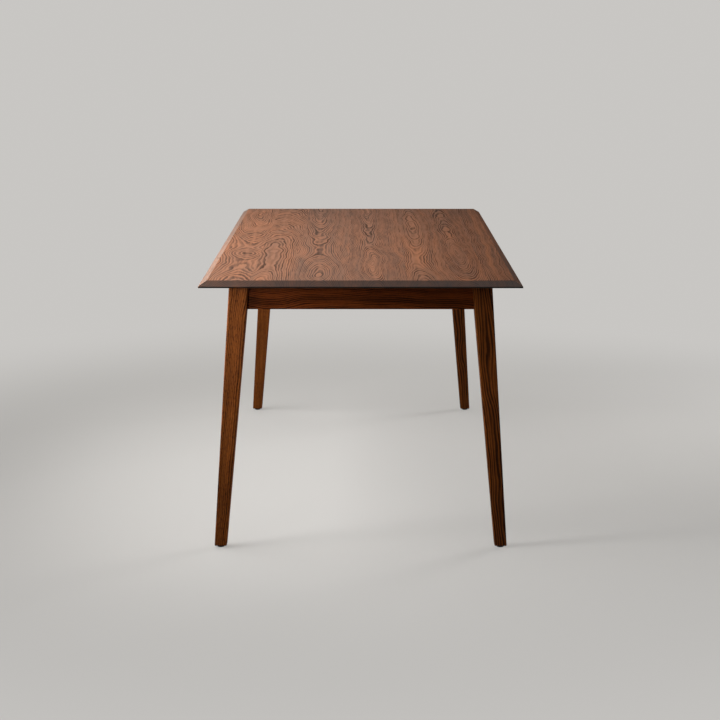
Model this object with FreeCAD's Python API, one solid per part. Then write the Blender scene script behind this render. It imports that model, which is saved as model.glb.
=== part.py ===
import FreeCAD, Part
import math
import os

from FreeCAD import Placement, Rotation, Vector

# Dining table with a bevelled edge-glued top and splayed, tapered legs.
# Millimetres. X runs across the table, Y along it and Z up. The front end is at -Y,
# and the origin is on the floor below the middle of the top.

# Top: solid boards glued edge to edge, listed from left to right as seen from the front end
board_widths = [137.0, 111.0, 156.0, 163.0, 120.0, 100.0, 93.0]
table_length = 1800.0
table_height = 760.0
top_thickness = 18.0
edge_lip = 4.0
bevel_width = 22.0
lip_radius = 1.2

# Legs: square, tapered and splayed alike both ways; insets run from the top's edge to the outer faces
leg_top_inset = 78.0
leg_top_size = 55.0
foot_inset = 30.0
foot_size = 34.0
leg_edge_radius = 3.0
foot_chamfer = 1.5
leg_flat_cut = 22.0

# Glides and their nails
glide_diameter = 20.0
glide_height = 6.0
glide_edge_radius = 1.5
nail_diameter = 2.6
nail_length = 20.0
nail_head_diameter = 6.6
nail_head_height = 1.2
nail_head_depth = 0.8
nail_clearance = 0.1

# Aprons, set back from the legs' outer faces, with a groove for the top's clips
apron_height = 72.0
apron_thickness = 22.0
apron_recess = 6.0
apron_edge_radius = 2.0
groove_drop = 12.0
groove_depth = 10.0
groove_clearance = 0.6

# Cross rails, stub-tenoned into the long aprons
rail_count = 2
rail_height = 50.0
rail_thickness = 24.0
tenon_length = 10.0
tenon_thickness = 10.0
tenon_height = 30.0
tenon_shoulder = 10.0
tenon_clearance = 0.2

# Corner blocks across the inside of each corner
block_thickness = 30.0
block_height = 56.0
block_top_gap = 3.0
block_leg_gap = 2.0
block_screw_seat = 12.0
block_screw_pitch = 36.0

# Hanger bolts, washers and nuts: two to a leg
bolt_diameter = 8.0
bolt_pitch = 28.0
bolt_depth_in_leg = 40.0
bolt_tail = 4.0
bolt_chamfer = 0.9
bolt_clearance = 0.1
block_bore_clearance = 0.5
washer_diameter = 20.0
washer_thickness = 1.6
nut_across_flats = 13.0
nut_height = 6.5
nut_corner_chamfer = 1.0

# Screws: one pan head for all, in three lengths
screw_diameter = 4.0
screw_head_diameter = 8.0
screw_head_height = 2.6
screw_head_radius = 1.8
screw_tip = 4.0
screw_clearance = 0.15
head_clearance = 0.7
recess_length = 4.4
recess_width = 1.1
recess_depth = 1.5
clip_screw_length = 14.0
block_screw_length = 25.0
rail_screw_length = 40.0
rail_screw_bite = 10.0
rail_screw_spacing = 230.0
rail_slot_play = 4.0

# Clips, bent from steel strip
clip_thickness = 2.0
clip_width = 20.0
clip_flange = 24.0
clip_tail = 8.0
clip_wall_gap = 0.5
clip_bend_radius = 1.4
end_clip_spacing = 260.0

# Sizes that follow from those above
ROOT_TWO = math.sqrt(2.0)
CUT_MARGIN = 1.0
SAME_PLACE = 0.01
table_width = sum(board_widths)
underside = table_height - top_thickness
leg_height = underside - glide_height
corner_x = table_width / 2 - leg_top_inset
corner_y = table_length / 2 - leg_top_inset
inner_slope = (leg_top_inset + leg_top_size - foot_inset - foot_size) / leg_height
apron_inner = apron_recess + apron_thickness
groove_height = clip_thickness + groove_clearance
frame_half_width = corner_x - apron_inner
frame_half_length = corner_y - apron_inner
bay_length = 2 * frame_half_length / (rail_count + 1)
foot_x = table_width / 2 - foot_inset - foot_size / 2
foot_y = table_length / 2 - foot_inset - foot_size / 2

# Distances in from the leg's outer corner, added along both sides, where the corner's diagonal planes lie
leg_flat_sum = 2 * leg_top_size - leg_flat_cut
block_outer_sum = leg_flat_sum + block_leg_gap * ROOT_TWO
block_inner_sum = block_outer_sum + block_thickness * ROOT_TWO
block_top = underside - block_top_gap
block_middle = block_top - block_height / 2

CORNERS = {
    "front_left": (-1, -1),
    "front_right": (1, -1),
    "rear_left": (-1, 1),
    "rear_right": (1, 1),
}
UP = Vector(0, 0, 1)
INWARD = Vector(-1, -1, 0).normalize()
ORIGIN = Vector(0, 0, 0)


def prism(points, direction):
    """Extrude the closed outline through these points."""
    return Part.Face(Part.makePolygon(points + points[:1])).extrude(direction)


def edges_within(shape, low, high):
    """The shape's edges that lie wholly between two heights."""
    found = []
    for edge in shape.Edges:
        heights = [vertex.Z for vertex in edge.Vertexes]
        if min(heights) > low - SAME_PLACE and max(heights) < high + SAME_PLACE:
            found.append(edge)
    return found


def chamfered_rod(radius, length, start, direction, chamfer):
    """A round bar with both ends chamfered."""
    rod = Part.makeCylinder(radius, length, start, direction)
    rims = [edge for edge in rod.Edges if isinstance(edge.Curve, Part.Circle)]
    return rod.makeChamfer(chamfer, rims)


def placed(shape, point, direction):
    """A copy of a shape that was built along +Z, moved to a point and turned along a direction."""
    copy = shape.copy()
    copy.Placement = Placement(point, Rotation(UP, direction))
    return copy


def to_corner(shape, corner):
    """Mirror a piece of the rear right corner to the named corner."""
    side, end = CORNERS[corner]
    if side < 0:
        shape = shape.mirror(ORIGIN, Vector(1, 0, 0))
    if end < 0:
        shape = shape.mirror(ORIGIN, Vector(0, 1, 0))
    return shape


def to_end(shape, end):
    """Move a piece built with an apron along X to the rear (1) or front (-1) end."""
    shape = shape.translated(Vector(0, corner_y - apron_recess, underside))
    return shape if end > 0 else shape.mirror(ORIGIN, Vector(0, 1, 0))


def to_side(shape, side):
    """Move a piece built with an apron along X to the right (1) or left (-1) side."""
    shape = shape.rotated(ORIGIN, UP, -90)
    shape = shape.translated(Vector(corner_x - apron_recess, 0, underside))
    return shape if side > 0 else shape.mirror(ORIGIN, Vector(1, 0, 0))


def corner_point(across, along, height):
    """A point given by its distances in from the rear right leg's outer corner."""
    return Vector(corner_x - across, corner_y - along, height)


def diagonal_point(distance, height):
    """A point on a corner's diagonal, this far inside the corner block's inner face."""
    half = block_inner_sum / 2
    return corner_point(half, half, height) + INWARD * distance


def bolt_heights():
    return [block_middle + bolt_pitch / 2, block_middle - bolt_pitch / 2]


# Where the pieces that repeat along the frame stand


def rail_places():
    """Y of each cross rail: the rails share out the length between the end aprons evenly."""
    return [(index + 1) * bay_length - frame_half_length for index in range(rail_count)]


def side_clip_places():
    """A clip in the middle of each bay between rails, measured along the apron."""
    return [(index + 0.5) * bay_length - frame_half_length for index in range(rail_count + 1)]


def end_clip_places():
    return [-end_clip_spacing / 2, end_clip_spacing / 2]


def rail_screw_points():
    """Where the rail screws' heads seat."""
    height = underside - rail_screw_length + rail_screw_bite
    across = (-rail_screw_spacing, 0, rail_screw_spacing)
    return [Vector(x, y, height) for y in rail_places() for x in across]


# Screws


def screw(length):
    """A pan-head screw along +Z, with the head's seat at z = 0."""
    head = Part.makeCylinder(screw_head_diameter / 2, screw_head_height, Vector(0, 0, -screw_head_height))
    head = head.makeFillet(screw_head_radius, edges_within(head, -screw_head_height, -screw_head_height))
    shank = Part.makeCylinder(screw_diameter / 2, length - screw_tip)
    tip = Part.makeCone(screw_diameter / 2, 0, screw_tip, Vector(0, 0, length - screw_tip))
    body = head.fuse([shank, tip]).removeSplitter()
    for size_x, size_y in ((recess_length, recess_width), (recess_width, recess_length)):
        corner = Vector(-size_x / 2, -size_y / 2, -screw_head_height)
        body = body.cut(Part.makeBox(size_x, size_y, recess_depth, corner))
    return body


def screw_hole(length):
    """The hole that a screw of this length needs, along +Z from its seat."""
    return Part.makeCylinder(screw_diameter / 2 + screw_clearance, length + screw_clearance)


# Clips, built with an apron along X whose outer face is at y = 0 and whose top edge is at z = 0


def clip_hole_y():
    """The clip's screw stands in the middle of the flange's free part."""
    riser = clip_wall_gap + clip_thickness
    return -apron_thickness - (riser + clip_flange) / 2


def clip(place):
    """A clip: tail in the apron's groove, riser beside the apron, flange under the top."""
    wall = -apron_thickness
    near = wall - clip_wall_gap
    far = near - clip_thickness
    tail_end = wall + clip_tail
    flange_end = wall - clip_flange
    tail_low = -groove_drop - clip_thickness
    left = place - clip_width / 2
    outline = [
        Vector(left, tail_end, -groove_drop),
        Vector(left, near, -groove_drop),
        Vector(left, near, 0),
        Vector(left, flange_end, 0),
        Vector(left, flange_end, -clip_thickness),
        Vector(left, far, -clip_thickness),
        Vector(left, far, tail_low),
        Vector(left, tail_end, tail_low),
    ]
    body = prism(outline, Vector(clip_width, 0, 0))
    bends = []
    for edge in body.Edges:
        ends = edge.Vertexes
        along_x = abs(ends[0].X - ends[1].X) > clip_width / 2
        outer_bend = abs(ends[0].Y - near) < SAME_PLACE and abs(ends[0].Z) < SAME_PLACE
        inner_bend = abs(ends[0].Y - far) < SAME_PLACE and abs(ends[0].Z - tail_low) < SAME_PLACE
        if along_x and (outer_bend or inner_bend):
            bends.append(edge)
    body = body.makeFillet(clip_bend_radius, bends)
    hole = screw_hole(clip_thickness)
    return body.cut(placed(hole, Vector(place, clip_hole_y(), -clip_thickness), UP))


def clip_screw_seat(place):
    return Vector(place, clip_hole_y(), -clip_thickness)


def on_every_apron(make):
    """Make a piece at each clip's place, with the end aprons first."""
    pieces = []
    for end in (-1, 1):
        pieces += [to_end(make(place), end) for place in end_clip_places()]
    for side in (-1, 1):
        pieces += [to_side(make(place), side) for place in side_clip_places()]
    return pieces


# Top


def rectangle(inset, height):
    """The top's outline, this far in from its edge."""
    x = table_width / 2 - inset
    y = table_length / 2 - inset
    corners = [(-x, -y), (x, -y), (x, y), (-x, y), (-x, -y)]
    return Part.makePolygon([Vector(a, b, height) for a, b in corners])


def top_slab():
    """The whole top: an upright lip, and above it a bevel all round the flat."""
    lip = Part.Face(rectangle(0, underside)).extrude(Vector(0, 0, edge_lip))
    outlines = [rectangle(0, underside + edge_lip), rectangle(bevel_width, table_height)]
    bevel = Part.makeLoft(outlines, True, True)
    slab = lip.fuse(bevel).removeSplitter()
    return slab.makeFillet(lip_radius, edges_within(slab, underside, underside + edge_lip))


def top_holes():
    """Pilot holes for the screws that come up from the clips and the cross rails."""
    bite = screw_hole(clip_screw_length)
    holes = on_every_apron(lambda place: placed(bite, clip_screw_seat(place), UP))
    long_hole = screw_hole(rail_screw_length)
    return holes + [placed(long_hole, point, UP) for point in rail_screw_points()]


def top_boards():
    """The top, parted along its glue lines."""
    slab = top_slab().cut(top_holes())
    boards = []
    left = -table_width / 2
    for width in board_widths:
        lane = Part.makeBox(width, table_length, top_thickness, Vector(left, -table_length / 2, underside))
        boards.append(slab.common(lane))
        left += width
    return boards


# Legs and glides


def leg_section(inset, size, height):
    """A leg's square section, its outer faces this far in from the top's edge."""
    x = table_width / 2 - inset
    y = table_length / 2 - inset
    corners = [(x, y), (x - size, y), (x - size, y - size), (x, y - size), (x, y)]
    return Part.makePolygon([Vector(a, b, height) for a, b in corners])


def bolt_bore(radius, height):
    """A bore along a hanger bolt, from its end in the leg to inside the corner block."""
    reach = block_thickness + block_leg_gap + bolt_depth_in_leg
    start = diagonal_point(-reach - bolt_clearance, height)
    return Part.makeCylinder(radius, reach + 2 * CUT_MARGIN, start, INWARD)


def leg():
    """The rear right leg, with a flat on its inner corner for the corner block."""
    top = leg_section(leg_top_inset, leg_top_size, underside)
    foot = leg_section(foot_inset, foot_size, glide_height)
    body = Part.makeLoft([top, foot], True, True)
    ends = edges_within(body, underside, underside) + edges_within(body, glide_height, glide_height)
    long_edges = [edge for edge in body.Edges if not any(edge.isSame(other) for other in ends)]
    body = body.makeFillet(leg_edge_radius, long_edges)
    body = body.makeChamfer(foot_chamfer, edges_within(body, glide_height, glide_height))
    past = leg_top_size + CUT_MARGIN
    low = underside - apron_height
    flat = [
        corner_point(leg_flat_sum - past, past, low),
        corner_point(past, leg_flat_sum - past, low),
        corner_point(past, past, low),
    ]
    body = body.cut(prism(flat, Vector(0, 0, apron_height + CUT_MARGIN)))
    bores = [bolt_bore(bolt_diameter / 2 + bolt_clearance, height) for height in bolt_heights()]
    nail_bore = nail_diameter / 2 + nail_clearance
    nail_reach = nail_head_depth + nail_head_height + nail_length + nail_clearance
    bores.append(Part.makeCylinder(nail_bore, nail_reach, Vector(foot_x, foot_y, 0)))
    return body.cut(bores)


def glide():
    """The rear right glide: a disc with a sunk hole for its nail."""
    centre = Vector(foot_x, foot_y, 0)
    disc = Part.makeCylinder(glide_diameter / 2, glide_height, centre)
    disc = disc.makeFillet(glide_edge_radius, edges_within(disc, 0, 0))
    sink_depth = nail_head_depth + nail_head_height
    sink = Part.makeCylinder(nail_head_diameter / 2 + nail_clearance, sink_depth, centre)
    bore = Part.makeCylinder(nail_diameter / 2 + nail_clearance, glide_height, centre)
    return disc.cut([sink, bore])


def glide_nail():
    """The rear right glide's nail, head down."""
    low = Vector(foot_x, foot_y, nail_head_depth)
    seat = low + UP * nail_head_height
    head = Part.makeCylinder(nail_head_diameter / 2, nail_head_height, low)
    return head.fuse(Part.makeCylinder(nail_diameter / 2, nail_length, seat)).removeSplitter()


# Aprons and cross rails


def apron(half_length):
    """An apron along X, outer face at y = 0 and top edge at z = 0, its ends cut to the legs' inner faces."""
    half_low = half_length + inner_slope * apron_height
    outline = [
        Vector(-half_length, 0, 0),
        Vector(half_length, 0, 0),
        Vector(half_low, 0, -apron_height),
        Vector(-half_low, 0, -apron_height),
    ]
    body = prism(outline, Vector(0, -apron_thickness, 0))
    low_edges = edges_within(body, -apron_height, -apron_height)
    body = body.makeFillet(apron_edge_radius, [edge for edge in low_edges if edge.Length > half_length])
    corner = Vector(-half_low, -apron_thickness, -groove_drop - groove_height)
    return body.cut(Part.makeBox(2 * half_low, groove_depth, groove_height, corner))


def screw_bites():
    """Pilot holes of the rear right corner's block screws, beyond the block."""
    return [placed(screw_hole(block_screw_length), *seat) for seat in block_screw_seats()]


def end_apron(end):
    body = to_end(apron(corner_x - leg_top_size), end)
    corners = [name for name, signs in CORNERS.items() if signs[1] == end]
    return body.cut([to_corner(hole, name) for name in corners for hole in screw_bites()])


def tenon_box(clearance):
    """A tenon at the right end of a rail at y = 0, or with a clearance the mortise for it."""
    size = Vector(tenon_length, tenon_thickness, tenon_height) + Vector(1, 2, 2) * clearance
    low = Vector(
        frame_half_width,
        -tenon_thickness / 2 - clearance,
        underside - tenon_shoulder - tenon_height - clearance,
    )
    return Part.makeBox(size.x, size.y, size.z, low)


def side_apron(side):
    body = to_side(apron(corner_y - leg_top_size), side)
    corners = [name for name, signs in CORNERS.items() if signs[0] == side]
    cuts = [to_corner(hole, name) for name in corners for hole in screw_bites()]
    for place in rail_places():
        mortise = tenon_box(tenon_clearance).translated(Vector(0, place, 0))
        cuts.append(mortise if side > 0 else mortise.mirror(ORIGIN, Vector(1, 0, 0)))
    return body.cut(cuts)


def slot(point, radius, length):
    """A slot along X that rises from a point, wide enough for a round of this radius with play."""
    half = rail_slot_play / 2
    ends = [Part.makeCylinder(radius, length, point + Vector(shift, 0, 0)) for shift in (-half, half)]
    middle = Part.makeBox(rail_slot_play, 2 * radius, length, point - Vector(half, radius, 0))
    return middle.fuse(ends)


def cross_rail(place):
    """A rail along X between the long aprons, with slotted, counterbored holes for its screws."""
    low = underside - rail_height
    corner = Vector(-frame_half_width, -rail_thickness / 2, low)
    body = Part.makeBox(2 * frame_half_width, rail_thickness, rail_height, corner)
    low_edges = [edge for edge in edges_within(body, low, low) if edge.Length > frame_half_width]
    body = body.makeFillet(apron_edge_radius, low_edges)
    tenon = tenon_box(0)
    body = body.fuse([tenon, tenon.mirror(ORIGIN, Vector(1, 0, 0))]).translated(Vector(0, place, 0))
    for seat in rail_screw_points():
        if abs(seat.y - place) < rail_thickness:
            head_radius = screw_head_diameter / 2 + head_clearance
            body = body.cut(slot(seat, screw_diameter / 2 + screw_clearance, rail_screw_length))
            body = body.cut(slot(Vector(seat.x, seat.y, low), head_radius, seat.z - low))
    return body


# Corner blocks and their hardware


def block_screw_seats():
    """Seat and direction of each block screw of the rear right corner, two into each apron."""
    depth = apron_inner + block_screw_seat
    reach = block_inner_sum - depth - screw_head_diameter / 2 - head_clearance
    seats = []
    for rise in (-block_screw_pitch / 2, block_screw_pitch / 2):
        height = block_middle + rise
        seats.append((corner_point(reach, depth, height), Vector(0, 1, 0)))
        seats.append((corner_point(depth, reach, height), Vector(1, 0, 0)))
    return seats


def corner_block():
    """The rear right corner block, its ends against the aprons' inner faces."""
    low = block_top - block_height
    near = block_outer_sum - apron_inner
    far = block_inner_sum - apron_inner
    plan = [(near, apron_inner), (apron_inner, near), (apron_inner, far), (far, apron_inner)]
    body = prism([corner_point(across, along, low) for across, along in plan], Vector(0, 0, block_height))
    cuts = [bolt_bore(bolt_diameter / 2 + block_bore_clearance, height) for height in bolt_heights()]
    head_radius = screw_head_diameter / 2 + head_clearance
    for seat, direction in block_screw_seats():
        cuts.append(placed(screw_hole(block_screw_length), seat, direction))
        cuts.append(Part.makeCylinder(head_radius, block_thickness, seat, -direction))
    return body.cut(cuts)


def hanger_bolt(height):
    """A bolt with one end in the leg and the other through the block, washer and nut."""
    inside = block_thickness + block_leg_gap + bolt_depth_in_leg
    outside = washer_thickness + nut_height + bolt_tail
    start = diagonal_point(-inside, height)
    return chamfered_rod(bolt_diameter / 2, inside + outside, start, INWARD, bolt_chamfer)


def bolt_washer(height):
    start = diagonal_point(0, height)
    ring = Part.makeCylinder(washer_diameter / 2, washer_thickness, start, INWARD)
    bore = bolt_diameter / 2 + block_bore_clearance
    return ring.cut(Part.makeCylinder(bore, washer_thickness, start, INWARD))


def bolt_nut(height):
    """A hexagon nut with its corners chamfered."""
    corner_radius = nut_across_flats / math.sqrt(3.0)
    angles = [math.radians(60 * index) for index in range(6)]
    outline = [Vector(corner_radius * math.cos(a), corner_radius * math.sin(a), 0) for a in angles]
    hexagon = prism(outline, Vector(0, 0, nut_height))
    body = hexagon.common(chamfered_rod(corner_radius, nut_height, ORIGIN, UP, nut_corner_chamfer))
    body = body.cut(Part.makeCylinder(bolt_diameter / 2 + bolt_clearance, nut_height))
    return placed(body, diagonal_point(washer_thickness, height), INWARD)


def at_every_bolt(make):
    """Make a piece at each hanger bolt."""
    return [to_corner(make(height), name) for name in CORNERS for height in bolt_heights()]


def block_screws():
    body = screw(block_screw_length)
    return [to_corner(placed(body, *seat), name) for name in CORNERS for seat in block_screw_seats()]


# Writing the pieces


def write(name, *solids):
    """Write one node: a single solid, or a group of separate ones."""
    shape = solids[0] if len(solids) == 1 else Part.makeCompound(list(solids))
    shape.exportStep(os.path.join("parts", name + ".step"))


os.makedirs("parts", exist_ok=True)

for number, board in enumerate(top_boards(), start=1):
    write(f"top_board_{number}", board)

for name, piece in (("leg", leg()), ("glide", glide()), ("corner_block", corner_block())):
    for corner in CORNERS:
        write(f"{name}_{corner}", to_corner(piece, corner))
nail = glide_nail()
write("glide_nails", *[to_corner(nail, corner) for corner in CORNERS])

for name, sign in (("front", -1), ("rear", 1)):
    write(f"end_apron_{name}", end_apron(sign))
for name, sign in (("left", -1), ("right", 1)):
    write(f"side_apron_{name}", side_apron(sign))
rail_names = ("front", "rear") if rail_count == 2 else [str(index + 1) for index in range(rail_count)]
for name, place in zip(rail_names, rail_places()):
    write(f"cross_rail_{name}", cross_rail(place))

write("hanger_bolts", *at_every_bolt(hanger_bolt))
write("bolt_washers", *at_every_bolt(bolt_washer))
write("bolt_nuts", *at_every_bolt(bolt_nut))
write("block_screws", *block_screws())
write("top_clips", *on_every_apron(clip))
clip_screw = screw(clip_screw_length)
write("clip_screws", *on_every_apron(lambda place: placed(clip_screw, clip_screw_seat(place), UP)))
rail_screw = screw(rail_screw_length)
write("rail_screws", *[placed(rail_screw, point, UP) for point in rail_screw_points()])
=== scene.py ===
import math
from typing import NamedTuple

import bmesh
import bpy
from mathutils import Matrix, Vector


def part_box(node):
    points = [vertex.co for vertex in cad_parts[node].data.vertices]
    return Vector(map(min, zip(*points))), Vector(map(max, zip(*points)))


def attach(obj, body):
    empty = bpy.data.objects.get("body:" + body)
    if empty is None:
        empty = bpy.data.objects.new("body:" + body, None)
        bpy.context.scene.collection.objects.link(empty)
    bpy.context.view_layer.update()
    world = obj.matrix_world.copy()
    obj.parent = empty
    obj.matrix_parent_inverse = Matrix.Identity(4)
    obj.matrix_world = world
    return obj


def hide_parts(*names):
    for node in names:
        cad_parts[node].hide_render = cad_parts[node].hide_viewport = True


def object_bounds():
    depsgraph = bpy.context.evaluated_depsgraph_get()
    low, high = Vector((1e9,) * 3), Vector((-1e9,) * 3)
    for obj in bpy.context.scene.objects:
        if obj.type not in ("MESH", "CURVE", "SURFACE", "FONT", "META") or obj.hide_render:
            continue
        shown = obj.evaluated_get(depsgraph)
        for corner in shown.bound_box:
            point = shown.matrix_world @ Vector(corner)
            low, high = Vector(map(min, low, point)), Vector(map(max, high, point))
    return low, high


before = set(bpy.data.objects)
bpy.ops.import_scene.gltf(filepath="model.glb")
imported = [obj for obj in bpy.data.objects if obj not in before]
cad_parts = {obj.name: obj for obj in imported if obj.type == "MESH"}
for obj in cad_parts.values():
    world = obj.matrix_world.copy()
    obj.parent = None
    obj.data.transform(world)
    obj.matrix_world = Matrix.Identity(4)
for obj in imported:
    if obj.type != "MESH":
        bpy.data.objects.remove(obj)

cad_low, cad_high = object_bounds()

MM = 0.001

# Where the table stands, from the frame
TOP = cad_high.z
FOOT = cad_low.z
BOARDS = [f"top_board_{number}" for number in range(1, 8)]
CORNERS = {"front_left": (-1, -1), "front_right": (1, -1), "rear_left": (-1, 1), "rear_right": (1, 1)}
ALONG_X = Vector((1.0, 0.0, 0.0))
ALONG_Y = Vector((0.0, 1.0, 0.0))
UPRIGHT = Vector((0.0, 0.0, 1.0))


def put_in_scene(thing):
    bpy.context.scene.collection.objects.link(thing)


# Node trees


class Wire:
    """An output socket in a node tree. Arithmetic on it adds Math nodes."""

    def __init__(self, tree, socket=None):
        self.tree = tree
        self.socket = socket

    def node(self, kind, settings=None, inputs=None, output=0):
        """Add a node of this type: its settings first, then its sockets. Gives one of its outputs.

        A list of wires goes into a socket that takes several.
        """
        made = self.tree.nodes.new(kind)
        for key, value in (settings or {}).items():
            if key == "stops":
                fill_ramp(made.color_ramp, value)
            elif key == "easing":
                made.color_ramp.interpolation = value
            else:
                setattr(made, key, value)
        for key, value in (inputs or {}).items():
            socket = find_socket(made.inputs, key)
            if isinstance(value, Wire):
                value = [value]
            if isinstance(value, list):
                for wire in value:
                    self.tree.links.new(wire.socket, socket)
            else:
                socket.default_value = value
        return Wire(self.tree, find_socket(made.outputs, output))

    def math(self, operation, *values):
        return self.node("ShaderNodeMath", {"operation": operation}, dict(enumerate(values)))

    def __add__(self, other):
        return self.math("ADD", self, other)

    def __sub__(self, other):
        return self.math("SUBTRACT", self, other)

    def __rsub__(self, other):
        return self.math("SUBTRACT", other, self)

    def __mul__(self, other):
        return self.math("MULTIPLY", self, other)

    def __truediv__(self, other):
        return self.math("DIVIDE", self, other)

    __radd__ = __add__
    __rmul__ = __mul__


def find_socket(sockets, key):
    """The socket with this number or identifier, or else with this name."""
    if isinstance(key, int):
        return sockets[key]
    for socket in sockets:
        if socket.identifier == key:
            return socket
    return sockets[key]


def fill_ramp(ramp, stops):
    """Set a colour ramp's stops to grey levels."""
    while len(ramp.elements) < len(stops):
        ramp.elements.new(1.0)
    for element, (place, level) in zip(ramp.elements, stops):
        element.position = place
        element.color = (level, level, level, 1.0)


def new_material(name):
    """An empty node material, as a Wire to build on and its surface shader."""
    material = bpy.data.materials.new(name)
    material.use_nodes = True
    tree = material.node_tree
    shader = tree.nodes["Principled BSDF"]
    return material, Wire(tree), shader


def feed(shader, **sockets):
    """Link wires to a shader's sockets, or set plain values on them."""
    for key, value in sockets.items():
        socket = shader.inputs[key.replace("_", " ").title().replace("Ior", "IOR")]
        if isinstance(value, Wire):
            value.tree.links.new(value.socket, socket)
        else:
            socket.default_value = value


def xyz(start, vector):
    """The three parts of a vector."""
    parts = start.node("ShaderNodeSeparateXYZ", {}, {"Vector": vector}).socket.node
    return [Wire(start.tree, parts.outputs[axis]) for axis in "XYZ"]


def join(start, x, y, z):
    return start.node("ShaderNodeCombineXYZ", {}, {"X": x, "Y": y, "Z": z})


def object_point(start):
    return start.node("ShaderNodeTexCoord", {}, {}, "Object")


def noise(start, point, detail=1.0, roughness=0.5):
    """Cloudy noise about 0, mostly within a quarter each way."""
    inputs = {"Vector": point, "Scale": 1.0, "Detail": detail, "Roughness": roughness}
    return start.node("ShaderNodeTexNoise", {"noise_dimensions": "3D"}, inputs) - 0.5


def ramp(start, value, stops, easing="LINEAR"):
    """A grey ramp over a value from 0 to 1."""
    return start.node("ShaderNodeValToRGB", {"stops": stops, "easing": easing}, {"Fac": value})


def smoothstep(start, value, low, high, low_level=0.0, high_level=1.0):
    inputs = {"Value": value, "From Min": low, "From Max": high, "To Min": low_level, "To Max": high_level}
    return start.node("ShaderNodeMapRange", {"interpolation_type": "SMOOTHSTEP"}, inputs)


def mix(start, factor, first, second):
    """A colour between two colours."""
    inputs = {"Factor_Float": factor, "A_Color": first, "B_Color": second}
    return start.node("ShaderNodeMix", {"data_type": "RGBA"}, inputs, "Result_Color")


def scaled(start, colour, factor):
    """A colour made lighter or darker."""
    return start.node("ShaderNodeVectorMath", {"operation": "SCALE"}, {0: colour, "Scale": factor})


def bump(start, height, strength, depth):
    return start.node("ShaderNodeBump", {}, {"Strength": strength, "Distance": depth, "Height": height})


# Wood


class Finish(NamedTuple):
    """A stain and a lacquer: the colours of late wood, early wood and pores, and how the surface shines."""

    late: tuple
    early: tuple
    pore: tuple
    shine: float
    lacquer: float


class Figure(NamedTuple):
    """How a piece of wood grew and was cut, and how much painted shade its edges get. Lengths are in
    millimetres.
    """

    ring: float  # the width of a year's growth
    contrast: float = 1.0  # how dark the early wood is
    fleck: float = 0.3  # how dark the short flecks are
    sway: float = 1.5  # how far the heart line strays up and down
    wander: float = 8.0  # how far it strays sideways
    tone: float = 0.0  # how much lighter this piece is than its neighbours
    curl: float = 0.0  # how many years' growth the rings swirl by
    edge: float = 0.0  # painted shade: how much darker the edges cut across its upper face are


TOP_FINISH = Finish((0.306, 0.092, 0.0205), (0.060, 0.0150, 0.0028), (0.028, 0.008, 0.002), 0.2, 0.7)
LEG_FINISH = Finish((0.240, 0.067, 0.0105), (0.040, 0.0095, 0.0013), (0.016, 0.004, 0.0008), 0.15, 0.10)
APRON_FINISH = Finish((0.158, 0.034, 0.0044), (0.026, 0.0048, 0.0007), (0.010, 0.0024, 0.0004), 0.12, 0.05)
BARE_FINISH = Finish((0.560, 0.370, 0.205), (0.360, 0.205, 0.098), (0.230, 0.125, 0.058), 0.15, 0.0)

SEED_STEP = 7.31  # how far apart the pieces of wood are cut out of the noise
FULL_SWING = 4.0  # noise lies mostly within a quarter each way, so this takes it to 1 each way

# How far through a year's growth, and how dark the wood is there. Some years and patches are fainter
EARLY_WOOD = [(0.0, 0.10), (0.16, 1.0), (0.44, 0.84), (0.78, 0.14), (1.0, 0.0)]
WEAKEST_YEAR = 0.42
FAINT_PATCHES = [(0.36, 0.62), (0.60, 1.0)]

# The figure is fainter right over the heart, this many millimetres each way
HEART_WIDTH = 8.0
HEART_STRENGTH = 0.6

# How many changes of season and of lean and fat years there are in a metre of growth
SEASONS = 38.0
LEAN_YEARS = 95.0

# Which noise shows as pores and flecks, and how much of them is left in the late wood
PORE_STOPS = [(0.52, 0.0), (0.64, 1.0)]
PORES_IN_LATE_WOOD = 0.12
FLECK_STOPS = [(0.49, 0.0), (0.62, 1.0)]
FLECKS_IN_LATE_WOOD = 0.35

# How square to the fibres a face is cut, how much stain it soaks up, and how thick lacquer stands on end grain
END_GRAIN_SOAK = [(0.12, 0.0), (0.55, 0.62), (0.75, 0.68), (1.0, 0.96)]
END_GRAIN_FILM = 1.9

# How far up a face looks if it is an edge, which gets painted shade, and if it is a flat, and how much calmer
# the figure is on an edge
EDGE_UPWARD = 0.86
FLAT_UPWARD = 0.97
EDGE_CALM = 1.5


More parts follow.
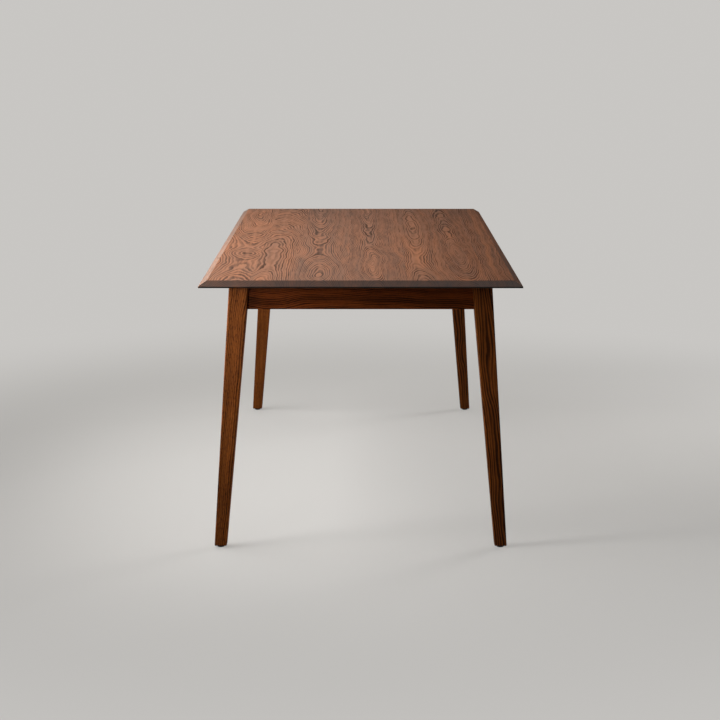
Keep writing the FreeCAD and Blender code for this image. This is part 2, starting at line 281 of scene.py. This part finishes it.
def wood(name, lay, grain, seed, finish, figure):
    """Ring-porous wood.

    lay turns object x, y, z into distances along the grain and, both ways, from the heart of the tree.
    grain is the direction of the fibres.
    """
    late_stain, early_stain, pore_stain = [(*colour, 1.0) for colour in finish[:3]]
    material, start, shader = new_material(name)
    along, across, rise = lay(*xyz(start, object_point(start)))
    shift = seed * SEED_STEP

    def streaks(run, width, detail=1.0, roughness=0.5):
        """Noise stretched along the grain: so many streaks to a metre along it and across it."""
        return noise(start, join(start, along * run, across * width + shift, rise * width), detail, roughness)

    broad = streaks(9.0, 40.0, 2.0, 0.5)
    feather = streaks(7.0, 240.0)
    pores = streaks(26.0, 900.0)
    flecks = streaks(100.0, 380.0)
    fibre = streaks(5.0, 150.0, 3.0, 0.6)
    blotch = streaks(3.6, 26.0, 2.0)
    wandering = streaks(4.0, 3.0)
    swaying = streaks(4.5, 8.0)
    curling = streaks(6.5, 17.0)

    across = across + wandering * (FULL_SWING * figure.wander * MM)
    rise = rise + swaying * (FULL_SWING * figure.sway * MM)
    radius = start.math("SQRT", across * across + rise * rise)
    seasons = noise(start, join(start, radius * SEASONS, shift, 0.0))
    lean_years = noise(start, join(start, radius * LEAN_YEARS, shift + 3.0, along * 0.7))
    rings = radius / (figure.ring * MM) + seasons * 1.6 + broad * 0.5 + feather * 0.4
    rings = rings + curling * (FULL_SWING * figure.curl)
    phase = start.math("FRACT", rings)
    year = start.math("FLOOR", rings)
    strength = start.node("ShaderNodeTexWhiteNoise", {"noise_dimensions": "1D"}, {"W": year + shift})
    early = ramp(start, phase, EARLY_WOOD, "EASE") * (WEAKEST_YEAR + strength * (1.0 - WEAKEST_YEAR))
    faint = ramp(start, streaks(9.0, 60.0) + 0.5, FAINT_PATCHES)
    off_heart = start.math("ABSOLUTE", across)
    over_heart = smoothstep(start, off_heart, 0.0, HEART_WIDTH * MM, HEART_STRENGTH, 1.0)

    facing = start.node("ShaderNodeNewGeometry", {}, {}, "Normal")
    dot_product = {"operation": "DOT_PRODUCT"}
    end_grain = start.node("ShaderNodeVectorMath", dot_product, {0: facing, 1: grain}, "Value")
    soak = ramp(start, start.math("ABSOLUTE", end_grain), END_GRAIN_SOAK, "EASE") * (0.98 - blotch * 0.5)
    upward = start.math("ABSOLUTE", xyz(start, facing)[2])
    # cut marks the faces that aren't level, such as the bevel and the lip, for painted shade, and calms the
    # figure there
    cut = smoothstep(start, upward, EDGE_UPWARD, FLAT_UPWARD, figure.edge, 0.0)
    early = early * faint * over_heart * (1.0 - cut * (1.0 - soak) * EDGE_CALM)

    def mostly_in_early(spots, stops, in_late_wood):
        return ramp(start, spots + 0.5, stops) * (in_late_wood + early * (1.0 - in_late_wood))

    pores = mostly_in_early(pores, PORE_STOPS, PORES_IN_LATE_WOOD)
    flecks = mostly_in_early(flecks, FLECK_STOPS, FLECKS_IN_LATE_WOOD)
    colour = mix(start, early * figure.contrast, late_stain, early_stain)
    dark_spots = start.math("MAXIMUM", pores * (0.35 * figure.contrast), flecks * figure.fleck)
    colour = mix(start, dark_spots, colour, pore_stain)
    shade = 1.0 + figure.tone + fibre * 0.6 + blotch * 0.8 + lean_years * 0.9
    # (1.0 - cut) is painted shade on the bevel and the lip
    shade = shade * (1.0 - soak) * (1.0 - cut)
    film = 1.0 - early * 0.85 - pores * 0.15 + fibre * 0.5
    height = fibre * 0.25 - pores - flecks * 0.4 - early * 0.35
    feed(
        shader,
        base_color=scaled(start, colour, shade),
        roughness=0.50 + early * 0.25 + fibre * 0.12,
        specular_ior_level=finish.shine,
        coat_weight=(film + soak * (END_GRAIN_FILM - film)) * finish.lacquer,
        coat_roughness=0.40,
        normal=bump(start, height, 0.35, 0.35 * MM),
    )
    return material


# How the pieces lie in their logs, in millimetres
LOG_LENGTH = 3000.0
DEEPEST_HEART = 200.0
RAIL_HEART_BELOW = 95.0
RAIL_HEART_ASIDE = 60.0
BLOCK_HEART_HEIGHT = 620.0
BLOCK_HEART_OUTWARD = 680.0
LEG_SLICE = 2.0  # how much of a leg's end gives the middle of that end
RAIL_SLOPE = 0.01  # how fast a rail's grain runs off its edge


def board_lay(centre, slant, heart_line):
    """A board along Y. The heart runs below it at the figure's centre, which slants across the board.

    heart_line gives the highs and lows of the heart: a place along the board and a depth below the top.
    """
    stops = [(0.5 + place / LOG_LENGTH, depth / DEEPEST_HEART) for place, depth in heart_line]

    def lay(x, y, z):
        depth = ramp(y, y / (LOG_LENGTH * MM) + 0.5, stops, "EASE") * (DEEPEST_HEART * MM)
        return y, x - y * slant - centre * MM, z - TOP + depth

    return lay


def corners_of(points):
    low = Vector([min(point[axis] for point in points) for axis in range(3)])
    high = Vector([max(point[axis] for point in points) for axis in range(3)])
    return low, high


def slice_middle(node, bottom, top):
    """The middle of a CAD node's points between two heights."""
    points = [vertex.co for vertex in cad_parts[node].data.vertices if bottom <= vertex.co.z <= top]
    low, high = corners_of(points)
    return (low.x + high.x) / 2, (low.y + high.y) / 2


def leg_lay(corner, heart_x, heart_y, drift):
    """A leg's grain follows its slope. The heart lies this far inside the leg, and drifts off up the leg."""
    side, end = CORNERS[corner]
    node = "leg_" + corner
    low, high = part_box(node)
    foot_x, foot_y = slice_middle(node, low.z, low.z + LEG_SLICE * MM)
    top_x, top_y = slice_middle(node, high.z - LEG_SLICE * MM, high.z)
    lean_x = (top_x - foot_x) / (high.z - low.z)
    lean_y = (top_y - foot_y) / (high.z - low.z)

    def lay(x, y, z):
        climb = z - low.z
        across = x - foot_x - climb * lean_x + heart_x * MM * side
        rise = y - foot_y - climb * lean_y + (heart_y * MM + climb * drift) * end
        return z, across, rise

    return lay


def rail_lay(node, along_x):
    """A rail's grain runs along it, with the heart well below it and to one side."""
    low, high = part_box(node)
    middle = (low + high) / 2

    def lay(x, y, z):
        along, across = (x, y - middle.y) if along_x else (y, x - middle.x)
        above_heart = z - middle.z + RAIL_HEART_BELOW * MM + along * RAIL_SLOPE
        return along, above_heart, across + RAIL_HEART_ASIDE * MM

    return lay


def block_lay(corner):
    """A corner block's grain runs along it, square to its bolts. The heart lies below it and inside it."""
    side, end = CORNERS[corner]
    diagonal = math.sqrt(0.5)

    def lay(x, y, z):
        outward = x * (diagonal * side) + y * (diagonal * end)
        along = x * (diagonal * side) - y * (diagonal * end)
        return along, z - BLOCK_HEART_HEIGHT * MM, outward - BLOCK_HEART_OUTWARD * MM

    return lay


def coat(mesh, material):
    """Give a mesh one material all over."""
    mesh.materials.clear()
    mesh.materials.append(material)


def dress(node, material):
    """Give a CAD node a material."""
    coat(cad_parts[node].data, material)


BOARD_CURL = 0.8
PAINTED_BEVEL_SHADE = 0.50  # painted shade: how much darker the bevel and the lip round the top are than its face

# Each board from left to right: where its figure is centred and how it slants, the heart line along the log
# past both ends of the board, in millimetres, the year's growth, how dark the early wood is, and the tone
BOARD_FIGURES = [
    (-348, -0.012, [(-1300, 40), (-520, 96), (-330, 84), (-200, 97), (720, 10), (1200, 60)], 4.5, 1.40, 0.26),
    (-268, 0.004, [(-1300, 6), (-560, 56), (-420, 52), (1300, 170)], 4.2, 1.22, 0.08),
    (-132, -0.022, [(-1100, 62), (-760, 24), (-280, 61.5), (1300, 2)], 3.7, 1.75, 0.05),
    (28, -0.010, [(-1300, 70), (-560, 6), (-100, 34), (1300, 0)], 3.6, 1.65, 0.14),
    (171, 0.004, [(-1300, 2), (-490, 48), (300, 27.5), (1300, 52)], 3.5, 1.30, 0.00),
    (288, -0.006, [(-1300, 80), (-320, 6), (100, 28), (1300, 60)], 3.6, 1.38, -0.08),
    (300, 0.010, [(-1300, 60), (1300, 66)], 3.5, 1.60, -0.08),
]

for number, (board, figures) in enumerate(zip(BOARDS, BOARD_FIGURES), start=1):
    centre, slant, heart_line, ring, contrast, tone = figures
    lay = board_lay(centre, slant, heart_line)
    figure = Figure(ring, contrast=contrast, tone=tone, curl=BOARD_CURL, edge=PAINTED_BEVEL_SHADE)
    dress(board, wood(f"top_wood_{number}", lay, ALONG_Y, number, TOP_FINISH, figure))

# Each leg: how far inside it the heart lies, across and along the table, in millimetres, how fast the heart
# drifts off up the leg, and its figure
LEG_FIGURES = {
    "front_left": (130.0, 80.0, 0.010, Figure(4.2, contrast=1.1, fleck=1.0, wander=3.0, tone=0.06, curl=0.5)),
    "front_right": (150.0, 60.0, 0.030, Figure(6.8, contrast=1.7, fleck=0.5, wander=4.0, curl=0.9)),
    "rear_left": (95.0, 70.0, -0.010, Figure(4.6, contrast=0.9, fleck=0.7, wander=3.0, tone=0.05, curl=0.5)),
    "rear_right": (90.0, 85.0, 0.026, Figure(6.4, contrast=1.6, fleck=0.5, wander=4.0, curl=0.9)),
}

for number, (corner, (heart_x, heart_y, drift, figure)) in enumerate(LEG_FIGURES.items(), start=11):
    lay = leg_lay(corner, heart_x, heart_y, drift)
    dress("leg_" + corner, wood("leg_wood_" + corner, lay, UPRIGHT, number, LEG_FINISH, figure))

RAIL_FIGURE = Figure(4.0, contrast=1.4, fleck=0.55, sway=4.0, wander=9.0, curl=1.0)
RAILS = [
    ("end_apron_front", True, APRON_FINISH),
    ("end_apron_rear", True, APRON_FINISH),
    ("side_apron_left", False, APRON_FINISH),
    ("side_apron_right", False, APRON_FINISH),
    ("cross_rail_front", True, BARE_FINISH),
    ("cross_rail_rear", True, BARE_FINISH),
]

for number, (node, along_x, finish) in enumerate(RAILS, start=21):
    grain = ALONG_X if along_x else ALONG_Y
    dress(node, wood(node + "_wood", rail_lay(node, along_x), grain, number, finish, RAIL_FIGURE))

for number, (corner, (side, end)) in enumerate(CORNERS.items(), start=31):
    grain = Vector((side, -end, 0.0)).normalized()
    node = "corner_block_" + corner
    dress(node, wood(node + "_wood", block_lay(corner), grain, number, BARE_FINISH, RAIL_FIGURE))


# Zinc-plated steel and black nylon


def zinc_steel():
    """Bright zinc: a cloudy, faintly mottled plate with a fine grit."""
    material, start, shader = new_material("zinc_steel")
    point = object_point(start)
    cloud = noise(start, scaled(start, point, 180.0), 3.0)
    grit = noise(start, scaled(start, point, 2400.0), 2.0)
    colour = mix(start, cloud * 1.4 + 0.5, (0.50, 0.50, 0.49, 1.0), (0.72, 0.72, 0.69, 1.0))
    feed(
        shader,
        base_color=colour,
        metallic=1.0,
        roughness=0.38 + cloud * 0.3 + grit * 0.15,
        normal=bump(start, cloud * 0.5 + grit, 0.15, 0.05 * MM),
    )
    return material


def black_nylon():
    """Moulded nylon: nearly black, matt, with a fine grain."""
    material, start, shader = new_material("black_nylon")
    point = object_point(start)
    grain = noise(start, scaled(start, point, 1600.0), 2.0)
    scuff = noise(start, scaled(start, point, 220.0), 2.0)
    colour = mix(start, scuff * 1.6 + 0.5, (0.008, 0.008, 0.008, 1.0), (0.022, 0.021, 0.020, 1.0))
    feed(shader, base_color=colour, roughness=0.55 + scuff * 0.3, normal=bump(start, grain, 0.3, 0.08 * MM))
    return material


zinc = zinc_steel()
nylon = black_nylon()
for node in ("top_clips", "glide_nails"):
    dress(node, zinc)
for corner in CORNERS:
    dress("glide_" + corner, nylon)


# Hardware: one shape for each kind of fastener, set out where the CAD has it

MERGE_DISTANCE = 0.002 * MM
SHARP_EDGE = math.radians(30.0)

# How finely the fasteners are turned: rows along the axis, or in each turn of a thread, and sides round it
BOLT_ROWS_PER_TURN = 6.0
BOLT_SIDES = 18
NUT_ROWS = 28
NUT_SIDES = 48
WASHER_ROWS = 12
WASHER_SIDES = 40
HEAD_ROWS = 16
HEAD_SIDES = 28
SHANK_ROWS_PER_TURN = 8.0
SHANK_SIDES = 16
NECK_ROWS = 4

NUT_FACE = 0.97  # how wide the flat of a nut's face is, as a share of the width across flats
NUT_CHAMFER = math.radians(60.0)
SCREW_CORE = 0.68  # how thick a screw's core is, as a share of its thread
NECK_REACH = 0.3  # how far the core runs on into the head, as a share of the head's height


def fastener_tree(name, shape, sizes):
    """A Geometry Nodes tree that sets out copies of a shape along the axes of the places it is given."""
    tree = bpy.data.node_groups.new(name, "GeometryNodeTree")
    tree.interface.new_socket("Places", in_out="INPUT", socket_type="NodeSocketGeometry")
    for key in sizes:
        tree.interface.new_socket(key, in_out="INPUT", socket_type="NodeSocketFloat")
    tree.interface.new_socket("Finish", in_out="INPUT", socket_type="NodeSocketMaterial")
    tree.interface.new_socket("Fasteners", in_out="OUTPUT", socket_type="NodeSocketGeometry")
    entry = tree.nodes.new("NodeGroupInput")
    start = Wire(tree)
    size = {key: Wire(tree, entry.outputs[key]) for key in sizes}
    made = softened(start, shape(start, size))
    axis = start.node("GeometryNodeInputNamedAttribute", {"data_type": "FLOAT_VECTOR"}, {"Name": "axis"})
    inputs = {
        "Points": Wire(tree, entry.outputs["Places"]),
        "Instance": made,
        "Rotation": start.node("FunctionNodeAlignRotationToVector", {"axis": "Z"}, {"Vector": axis}),
    }
    copies = start.node("GeometryNodeInstanceOnPoints", {}, inputs)
    copies = start.node("GeometryNodeRealizeInstances", {}, {"Geometry": copies})
    finish = Wire(tree, entry.outputs["Finish"])
    copies = start.node("GeometryNodeSetMaterial", {}, {"Geometry": copies, "Material": finish})
    tree.links.new(copies.socket, tree.nodes.new("NodeGroupOutput").inputs["Fasteners"])
    return tree


def softened(start, mesh):
    """Smooth shading, broken at the sharp edges."""
    inputs = {"Geometry": mesh, "Shade Smooth": True}
    mesh = start.node("GeometryNodeSetShadeSmooth", {"domain": "FACE"}, inputs)
    angle = start.node("GeometryNodeInputMeshEdgeAngle", {}, {}, "Unsigned Angle")
    sharp = start.math("GREATER_THAN", angle, SHARP_EDGE)
    inputs = {"Geometry": mesh, "Selection": sharp, "Shade Smooth": False}
    return start.node("GeometryNodeSetShadeSmooth", {"domain": "EDGE"}, inputs)


def turned(start, rows, sides, length, radius, bore=0.0, base=0.0):
    """A piece turned about +Z from its base up, closed at the axis or along its bore.

    radius is worked out from the height above the base and the turn round the axis, from 0 to 1.
    """
    inputs = {"Size X": 1.0, "Size Y": 1.0, "Vertices X": rows, "Vertices Y": sides + 1}
    sheet = start.node("GeometryNodeMeshGrid", {}, inputs, "Mesh")
    x, y = xyz(start, start.node("GeometryNodeInputPosition"))[:2]
    row = (x + 0.5) * (rows - 1)
    turn = y + 0.5
    end_row = rows - 3 if bore else rows - 2
    climb = start.node("ShaderNodeClamp", {}, {"Value": (row - 1.0) / (end_row - 1)})
    if bore:
        climb = climb * start.math("LESS_THAN", row, rows - 1.5)
    on_wall = start.math("GREATER_THAN", row, 0.5) * start.math("LESS_THAN", row, end_row + 0.5)
    height = climb * length
    reach = on_wall * radius(height, turn) + (1.0 - on_wall) * bore
    angle = turn * (2.0 * math.pi)
    place = join(start, reach * start.math("COSINE", angle), reach * start.math("SINE", angle), height + base)
    sheet = start.node("GeometryNodeSetPosition", {}, {"Geometry": sheet, "Position": place})
    sheet = start.node("GeometryNodeMergeByDistance", {}, {"Geometry": sheet, "Distance": MERGE_DISTANCE})
    return start.node("GeometryNodeFlipFaces", {}, {"Mesh": sheet})


def ridge(start, turns):
    """A thread's section: 0 in the root and 1 on the crest, once in each turn."""
    return start.math("PINGPONG", turns, 0.5) * 2.0


def nearer_end(start, height, length):
    return start.math("MINIMUM", height, length - height)


def rounded(start, distance, radius):
    """How far a rounded edge stands back, this far from the face."""
    inside = radius - start.math("MINIMUM", distance, radius)
    return radius - start.math("SQRT", radius * radius - inside * inside)


def hanger_bolt(start, size):
    """A stud with a coarse thread for the leg, a plain collar, and a fine thread for the nut."""
    length = size["Length"]
    outer = size["Diameter"] * 0.5
    rows = start.math("ROUND", length / size["Fine Pitch"] * BOLT_ROWS_PER_TURN)

    def radius(height, turn):
        in_leg = start.math("LESS_THAN", height, size["Coarse Length"])
        past_collar = start.math("GREATER_THAN", height, size["Coarse Length"] + size["Collar"])
        coarse = ridge(start, height / size["Coarse Pitch"] - turn)
        fine = ridge(start, height / size["Fine Pitch"] - turn)
        coarse_root = in_leg * (1.0 - coarse) * size["Coarse Depth"]
        fine_root = past_collar * (1.0 - fine) * size["Fine Depth"]
        end = outer - size["Chamfer"] + nearer_end(start, height, length)
        return start.math("MINIMUM", outer - (coarse_root + fine_root), end)

    return turned(start, rows, BOLT_SIDES, length, radius)


def hexagon_nut(start, size):
    """A hexagon nut with both faces chamfered."""
    half = size["Across Flats"] * 0.5

    def radius(height, turn):
        from_flat = (start.math("FRACT", turn * 6.0) - 0.5) * (math.pi / 3.0)
        hexagon = half / start.math("COSINE", from_flat)
        chamfer = half * NUT_FACE + nearer_end(start, height, size["Height"]) * math.tan(NUT_CHAMFER)
        return start.math("MINIMUM", hexagon, chamfer)

    return turned(start, NUT_ROWS, NUT_SIDES, size["Height"], radius, bore=size["Bore"] * 0.5)


def washer(start, size):
    """A flat washer with its outer edge rounded by the punch."""

    def radius(height, turn):
        edge = nearer_end(start, height, size["Thickness"])
        return size["Diameter"] * 0.5 - rounded(start, edge, size["Edge Radius"])

    return turned(start, WASHER_ROWS, WASHER_SIDES, size["Thickness"], radius, bore=size["Bore"] * 0.5)


def pan_head_screw(start, size):
    """A wood screw with a domed head and a cross recess, its head's seat at z = 0."""
    length = size["Length"]
    head_height = size["Head Height"]

    def head_radius(height, turn):
        return size["Head Diameter"] * 0.5 - rounded(start, height, size["Head Radius"])

    def shank_radius(height, turn):
        left = start.math("MINIMUM", (length - height) / size["Tip"], 1.0)
        crest = ridge(start, height / size["Pitch"] - turn)
        core = SCREW_CORE + crest * crest * (1.0 - SCREW_CORE)
        return size["Diameter"] * 0.5 * left * core

    def neck_radius(height, turn):
        return size["Diameter"] * (0.5 * SCREW_CORE)

    rows = start.math("ROUND", length / size["Pitch"] * SHANK_ROWS_PER_TURN)
    sunk = head_height * NECK_REACH
    head = turned(start, HEAD_ROWS, HEAD_SIDES, head_height, head_radius, base=head_height * -1.0)
    shank = turned(start, rows, SHANK_SIDES, length, shank_radius)
    neck = turned(start, NECK_ROWS, SHANK_SIDES, sunk * 2.0, neck_radius, base=sunk * -1.0)
    settings = {"operation": "UNION", "solver": "EXACT"}
    body = start.node("GeometryNodeMeshBoolean", settings, {"Mesh 2": [head, neck, shank]}, "Mesh")
    arms = []
    for wide, deep in (("Recess Length", "Recess Width"), ("Recess Width", "Recess Length")):
        arm_size = join(start, size[wide], size[deep], size["Recess Depth"] * 2.0)
        arm = start.node("GeometryNodeMeshCube", {}, {"Size": arm_size}, "Mesh")
        down = join(start, 0.0, 0.0, head_height * -1.0)
        arms.append(start.node("GeometryNodeTransform", {}, {"Geometry": arm, "Translation": down}))
    settings = {"operation": "DIFFERENCE", "solver": "EXACT"}
    return start.node("GeometryNodeMeshBoolean", settings, {"Mesh 1": body, "Mesh 2": arms}, "Mesh")


def solids(node):
    """The points of each separate solid of a CAD node."""
    shape = bmesh.new()
    shape.from_mesh(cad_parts[node].data)
    bmesh.ops.remove_doubles(shape, verts=shape.verts, dist=MERGE_DISTANCE)
    left = set(shape.verts)
    found = []
    while left:
        reached = [left.pop()]
        for vertex in reached:
            for edge in vertex.link_edges:
                other = edge.other_vert(vertex)
                if other in left:
                    left.remove(other)
                    reached.append(other)
        found.append([vertex.co.copy() for vertex in reached])
    shape.free()
    return found


def bolt_axis(points):
    """Bolts, nuts and washers point from the leg to the middle of the table, level."""
    low, high = corners_of(points)
    middle = (low + high) / 2
    return Vector((-math.copysign(1.0, middle.x), -math.copysign(1.0, middle.y), 0.0)).normalized()


def screw_axis(points):
    """A screw points along its length, to the end with fewer points on it: its tip."""
    low, high = corners_of(points)
    size = high - low
    longest = max(range(3), key=lambda axis: size[axis])
    axis = Vector([1.0 if index == longest else 0.0 for index in range(3)])
    at_low = [point for point in points if point[longest] < low[longest] + MERGE_DISTANCE]
    at_high = [point for point in points if point[longest] > high[longest] - MERGE_DISTANCE]
    return axis if len(at_high) < len(at_low) else -axis


class Station(NamedTuple):
    """Where a fastener starts, the way it points, and how long it is."""

    place: Vector
    axis: Vector
    length: float


def stations(node, axis_of):
    """The station of each solid of a CAD node."""
    found = []
    for points in solids(node):
        axis = axis_of(points)
        low, high = corners_of(points)
        middle = (low + high) / 2
        reach = [axis.dot(point) for point in points]
        place = middle + axis * (min(reach) - axis.dot(middle))
        found.append(Station(place, axis, max(reach) - min(reach)))
    return found


def set_out(name, node, shape, sizes, axis_of, measured="Length", head=0.0):
    """Make the fasteners of a CAD node, as one piece that stands for it.

    measured names the size that is taken from the CAD: the one along the axis, without the head.
    """
    found = stations(node, axis_of)
    places = [station.place + station.axis * (head * MM) for station in found]
    carrier_mesh = bpy.data.meshes.new(name + "_places")
    carrier_mesh.from_pydata(places, [], [])
    axes = carrier_mesh.attributes.new("axis", "FLOAT_VECTOR", "POINT")
    for value, station in zip(axes.data, found):
        value.vector = station.axis
    carrier = bpy.data.objects.new(name + "_places", carrier_mesh)
    put_in_scene(carrier)
    sizes = {key: value * MM for key, value in sizes.items()}
    sizes[measured] = found[0].length - head * MM
    modifier = carrier.modifiers.new(name, "NODES")
    modifier.node_group = fastener_tree(name, shape, sizes)
    for item in modifier.node_group.interface.items_tree:
        if item.name in sizes:
            modifier[item.identifier] = sizes[item.name]
        elif item.name == "Finish":
            modifier[item.identifier] = zinc
    evaluated = carrier.evaluated_get(bpy.context.evaluated_depsgraph_get())
    piece = bpy.data.objects.new(name, bpy.data.meshes.new_from_object(evaluated))
    coat(piece.data, zinc)
    bpy.data.objects.remove(carrier)
    put_in_scene(piece)
    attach(piece, "root")
    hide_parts(node)


# Sizes of the fasteners, in millimetres
BOLT = {
    "Diameter": 8.0, "Coarse Length": 44.0, "Coarse Pitch": 3.4, "Coarse Depth": 1.1, "Collar": 6.0,
    "Fine Pitch": 1.25, "Fine Depth": 0.7, "Chamfer": 0.9,
}
NUT = {"Across Flats": 13.0, "Bore": 8.2}
WASHER = {"Diameter": 20.0, "Bore": 9.0, "Edge Radius": 0.45}
SCREW = {
    "Diameter": 4.0, "Pitch": 1.8, "Tip": 5.0, "Head Diameter": 8.0, "Head Height": 2.6, "Head Radius": 1.8,
    "Recess Length": 4.4, "Recess Width": 1.1, "Recess Depth": 1.5,
}

set_out("threaded_hanger_bolts", "hanger_bolts", hanger_bolt, BOLT, bolt_axis)
set_out("chamfered_nuts", "bolt_nuts", hexagon_nut, NUT, bolt_axis, measured="Height")
set_out("rounded_washers", "bolt_washers", washer, WASHER, bolt_axis, measured="Thickness")
for name, node in (
    ("corner_block_screws", "block_screws"),
    ("top_clip_screws", "clip_screws"),
    ("cross_rail_screws", "rail_screws"),
):
    set_out(name, node, pan_head_screw, SCREW, screw_axis, head=SCREW["Head Height"])


# Stage

WHITE = (1.0, 1.0, 1.0)
WARM = (1.0, 0.96, 0.87)
ROOM = (1.0, 0.98, 0.95)
DIM = (0.03, 0.03, 0.03, 1.0)
PALE = (0.58, 0.567, 0.548, 1.0)
FLOOR_SEEN = (0.74, 0.72, 0.69, 1.0)
FLOOR_BOUNCE = (0.22, 0.19, 0.16, 1.0)

# The floor, in metres: how wide it is each way, from where to where round the table it fades into the
# background, how much of it has faded below the table, and where the lacquer mirrors the background in it
FLOOR_REACH = 60.0
FADE_START = 0.9
FADE_END = 2.8
FADED_BELOW = 0.55
MIRROR_START = 1.5
MIRROR_END = 5.0

# How bright the room's sides look in the lacquer
FRONT_WALL = 0.16
REAR_WALL = 0.05
CEILING = 0.08

# The photograph's viewpoint, in metres, millimetres of lens and degrees
EYE = (0.0055, -5.4557, 1.4631)
LENS = 85.25
SENSOR = 36.0
LOOK_DOWN = 11.403
LOOK_LEFT = 0.09


class Softbox(NamedTuple):
    """A rectangular soft light that faces a point. One that isn't mirrored leaves no glare on the lacquer."""

    name: str
    place: tuple
    target: tuple
    width: float
    height: float
    power: float
    spread: float = 180.0
    tint: tuple = WHITE
    mirrored: bool = True


SOFTBOXES = [
    Softbox("ceiling", (-0.3, 0.0, 4.5), (-0.3, 0.001, 0.0), 5.0, 5.0, 25.0),
    Softbox("left_window_low", (-1.53, -0.22, 1.55), (0.0, -0.22, 0.76), 2.2, 0.5, 10.0, 100.0, mirrored=False),
    Softbox("left_window_high", (-1.27, -0.22, 1.95), (0.0, -0.22, 0.76), 2.2, 0.5, 11.0, 100.0),
    Softbox("left_card", (-2.2, -1.3, 0.95), (-0.36, -0.85, 0.72), 0.6, 0.6, 3.2, 40.0, mirrored=False),
    Softbox("front_card", (-1.3, -2.4, 1.0), (-0.45, -0.85, 0.68), 0.7, 0.7, 1.25, 42.0, mirrored=False),
    Softbox("low_card", (-1.9, -1.6, 0.6), (-0.4, 0.85, 0.35), 0.6, 0.6, 0.8, 30.0, mirrored=False),
    Softbox("rear_card", (-1.1, 4.2, 3.3), (0.0, -0.3, 0.7), 3.0, 2.3, 23.0, tint=WARM),
    Softbox("rear_left_card", (-2.4, 3.6, 1.9), (-0.3, 0.0, 0.76), 2.0, 1.2, 19.0, tint=WARM),
    Softbox("front_high", (0.6, -4.6, 3.6), (0.0, 0.0, 0.7), 3.0, 2.0, 8.0, tint=WARM),
    Softbox("right_fill", (2.6, 1.6, 0.7), (-0.3, -0.6, 0.4), 1.2, 0.8, 14.0, 60.0, mirrored=False),
]


def light_path(start, kind):
    return start.node("ShaderNodeLightPath", {}, {}, kind)


def floor():
    """A wide pale floor that fades into the background away from the table."""
    mesh = bpy.data.meshes.new("floor")
    sides = ((-1, -1), (1, -1), (1, 1), (-1, 1))
    corners = [(x * FLOOR_REACH, y * FLOOR_REACH, FOOT) for x, y in sides]
    mesh.from_pydata(corners, [], [(0, 1, 2, 3)])
    plane = bpy.data.objects.new("floor", mesh)
    put_in_scene(plane)
    material, start, shader = new_material("pale_floor")
    seen = light_path(start, "Is Camera Ray")
    mirrored = light_path(start, "Is Glossy Ray")
    colour = mix(start, seen, FLOOR_BOUNCE, FLOOR_SEEN)
    feed(shader, base_color=colour, roughness=0.8, specular_ior_level=0.1)
    x, y = xyz(start, object_point(start))[:2]
    distance = start.math("SQRT", x * x + y * y)
    faded = smoothstep(start, distance, FADE_START, FADE_END, FADED_BELOW, 1.0)
    rear = smoothstep(start, y, MIRROR_START, MIRROR_END)
    glow = start.node("ShaderNodeEmission", {}, {"Color": PALE, "Strength": 1.0})
    surface = Wire(start.tree, shader.outputs[0])
    blend = start.node("ShaderNodeMixShader", {}, {0: faded * seen + rear * mirrored, 1: surface, 2: glow})
    start.tree.links.new(blend.socket, start.tree.nodes["Material Output"].inputs["Surface"])
    coat(mesh, material)


def hang(softbox):
    """Hang a softbox in the scene."""
    light = bpy.data.lights.new(softbox.name, "AREA")
    light.shape = "RECTANGLE"
    light.size = softbox.width
    light.size_y = softbox.height
    light.energy = softbox.power
    light.color = softbox.tint
    light.spread = math.radians(softbox.spread)
    lamp = bpy.data.objects.new(softbox.name, light)
    lamp.visible_camera = False
    lamp.visible_glossy = softbox.mirrored
    lamp.location = softbox.place
    facing = Vector(softbox.target) - Vector(softbox.place)
    lamp.rotation_euler = facing.to_track_quat("-Z", "Y").to_euler()
    put_in_scene(lamp)


def surroundings():
    """Dim light all round, with walls and a ceiling for reflections and a pale background to look at."""
    world = bpy.data.worlds.new("surroundings")
    bpy.context.scene.world = world
    world.use_nodes = True
    start = Wire(world.node_tree)
    y, z = xyz(start, start.node("ShaderNodeTexCoord", {}, {}, "Generated"))[1:]
    walls = smoothstep(start, y, -0.5, 0.5, FRONT_WALL, REAR_WALL)
    ceiling = smoothstep(start, z, 0.35, 0.85, 0.0, CEILING)
    room = scaled(start, ROOM, walls + ceiling)
    colour = mix(start, light_path(start, "Is Glossy Ray"), DIM, room)
    through = light_path(start, "Is Transmission Ray")
    seen = start.math("MAXIMUM", light_path(start, "Is Camera Ray"), through)
    colour = mix(start, seen, colour, PALE)
    world.node_tree.links.new(colour.socket, world.node_tree.nodes["Background"].inputs["Color"])


def camera():
    """A long lens a little above the table, looking along it."""
    data = bpy.data.cameras.new("camera")
    data.sensor_width = SENSOR
    data.lens = LENS
    eye = bpy.data.objects.new("camera", data)
    eye.location = EYE
    eye.rotation_euler = (math.radians(90.0 - LOOK_DOWN), 0.0, math.radians(LOOK_LEFT))
    put_in_scene(eye)
    bpy.context.scene.camera = eye


floor()
for softbox in SOFTBOXES:
    hang(softbox)
surroundings()
camera()
bpy.context.scene.view_settings.view_transform = "Standard"
